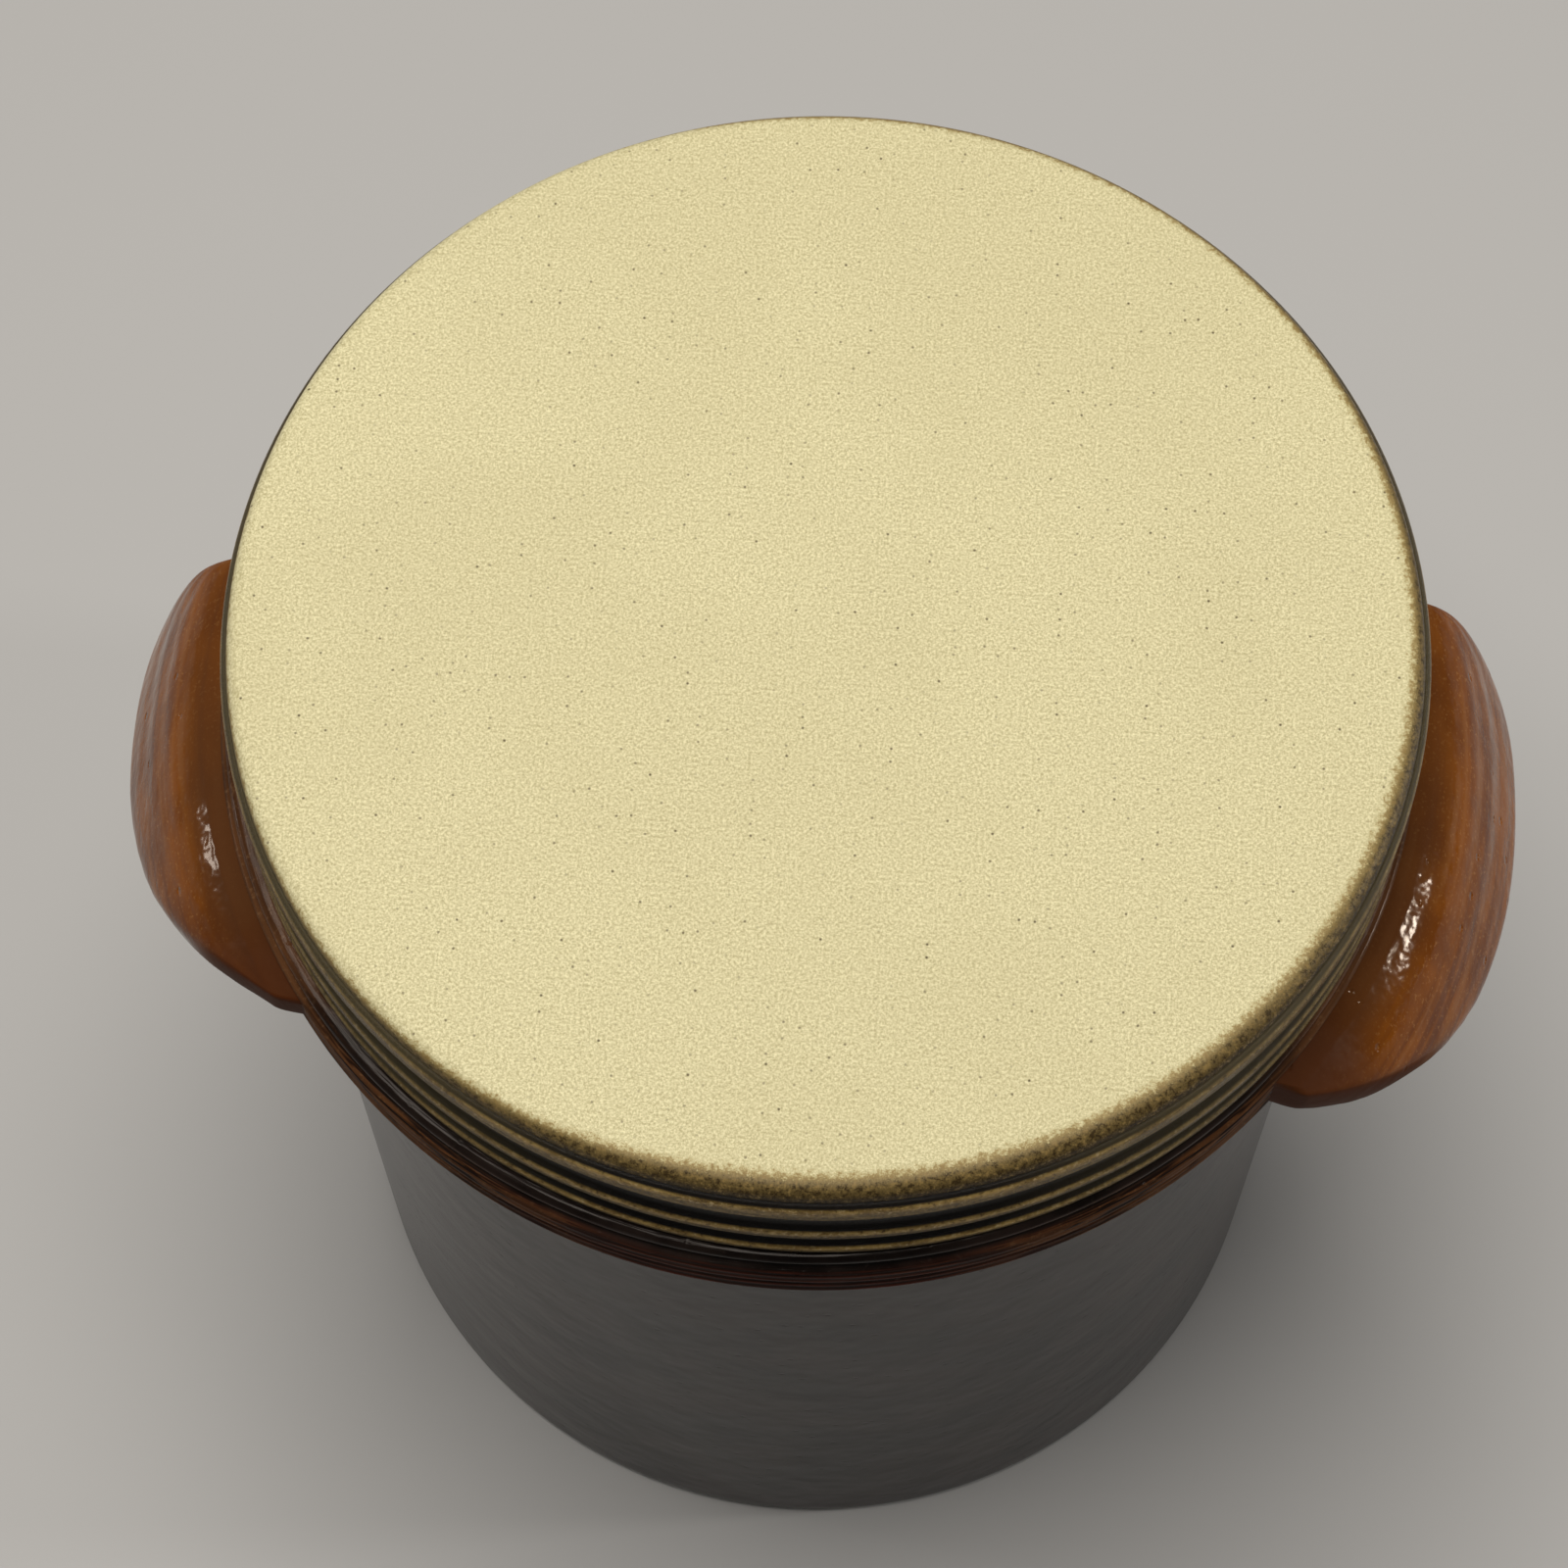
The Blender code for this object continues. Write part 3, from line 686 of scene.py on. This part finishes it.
def specks_in_cream(material, place):
    """Small round specks of iron, each with its own strength."""
    specks = add_node(material, "ShaderNodeTexVoronoi",
                      {"Vector": place, "Scale": 1 / SPECK_SPACING, "Randomness": 1.0},
                      voronoi_dimensions='2D')
    draw = add_node(material, "ShaderNodeSeparateColor", {0: specks.outputs["Color"]})
    strength = maths(material, 'MULTIPLY', spread(material, draw.outputs[0], 0.62, 1.0),
                     spread(material, draw.outputs[1], 0.0, 1.0, 0.20, 0.95))
    return maths(material, 'MULTIPLY', strength,
                 spread(material, specks.outputs["Distance"], 0.12, 0.06))


def cream_glaze():
    """Matt cream with a sandy grain, worn through to olive and brown at the edge, with painted
    light and shade on the ridges and flutes and broad clouds of painted shade.
    """
    material, shader, place, axes, radius = glaze(
        "cream_glaze", CREAM_ROUGHNESS, CREAM_IOR, LID_SHIFT)
    grain = noise(material, place, CREAM_GRAIN, 5.0, 0.90)
    cream = mix(material, spread(material, grain, 0.36, 0.64), CREAM_DARK, CREAM_PALE)
    # Broad cloudy patches of painted shade over the cream.
    clouds = noise(material, place, CREAM_CLOUD)
    cream = mix(material, spread(material, clouds, 0.38, 0.62, 0.0, 0.11), cream, CREAM_PAINTED_SHADE)
    cream = mix(material, specks_in_cream(material, place), cream, SPECK)

    lean = maths(material, 'SUBTRACT', spread(material, axes.outputs["X"], *WORN_LEAN_RIGHT),
                 maths(material, 'MULTIPLY', axes.outputs["Y"], WORN_LEAN_FRONT))
    drop = maths(material, 'SUBTRACT', LID_HIGH.z, axes.outputs["Z"])
    worn = maths(material, 'ADD', maths(material, 'ADD', radius, lean), drop)
    mottle = noise(material, place, MOTTLE, 5.0, 0.85)
    worn = shaken(material, worn, mottle, WORN_FRAY)
    worn = shaken(material, worn, grain, WORN_FINE_FRAY)
    worn = add_node(material, "ShaderNodeMapRange",
                    {"Value": worn, "From Min": WORN_FROM, "From Max": WORN_TO}).outputs["Result"]
    edge = ramp(material, worn, WORN_COLOURS)
    edge = mix(material, spread(material, worn, 0.0, 0.08), cream, edge)
    edge = mix(material, spread(material, mottle, 0.50, 0.42, 0.0, 0.9), edge,
               mix(material, spread(material, worn, 0.08, 0.30), edge, WORN_PIT))
    edge = mix(material, spread(material, mottle, 0.53, 0.62, 0.0, 0.6), edge,
               mix(material, spread(material, worn, 0.10, 0.34), edge, WORN_FLECK))

    streaks = noise(material, wheel_coordinates(material, axes, radius, CREST_DRAG),
                    CREST_STREAK, 3.0, 0.6)
    crest = mix(material, spread(material, streaks, 0.3, 0.7), CREST_DARK, CREST_PALE)
    crest = mix(material, spread(material, mottle, 0.53, 0.64, 0.0, 0.8), crest, CREST_FLECK)
    crest = mix(material, spread(material, mottle, 0.46, 0.38, 0.0, 0.8), crest, CREST_PIT)
    height = maths(material, 'SUBTRACT', axes.outputs["Z"], LID_SEAT)
    height = maths(material, 'DIVIDE', height, LID_HEIGHT)
    # Painted highlights on the ridges' upper shoulders and painted shade below them.
    crest = mix(material, ramp(material, height, RIDGE_PAINTED_LIGHT), CREST_PAINTED_SHADE, crest)
    aside = toward_sides(material, axes, radius)
    crest = mix(material, spread(material, aside, 0.25, 0.75, 0.0, 0.55), crest, CREST_AT_SIDES)
    # Painted shade darkens the flutes between the ridges to near black in front, fading to olive
    # towards the sides.
    flute = mix(material, spread(material, aside, 0.25, 0.70), FLUTE_PAINTED_SHADE_IN_FRONT, FLUTE_AT_SIDES)
    side = mix(material, spread(material, radius, *CREST_BEGINS), flute, crest)
    on_side = spread(material, drop, *SIDE_BEGINS)
    colour = mix(material, on_side, edge, side)
    material.node_tree.links.new(colour, shader.inputs["Base Color"])
    shine = spread(material, worn, 0.1, 0.9, CREAM_ROUGHNESS, WORN_ROUGHNESS)
    material.node_tree.links.new(shine, shader.inputs["Roughness"])
    relief(material, shader,
           (noise(material, place, CREAM_WAVE), CREAM_WAVE_DEPTH),
           (maths(material, 'MULTIPLY', mottle, on_side), MOTTLE_DEPTH),
           (grain, CREAM_GRAIN_DEPTH))
    return material


lid = throw_on_wheel("lid_glazed", lid_profile(), LID_SHIFT)
lid.data.materials.append(cream_glaze())
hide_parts("lid")
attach(lid, "lid")
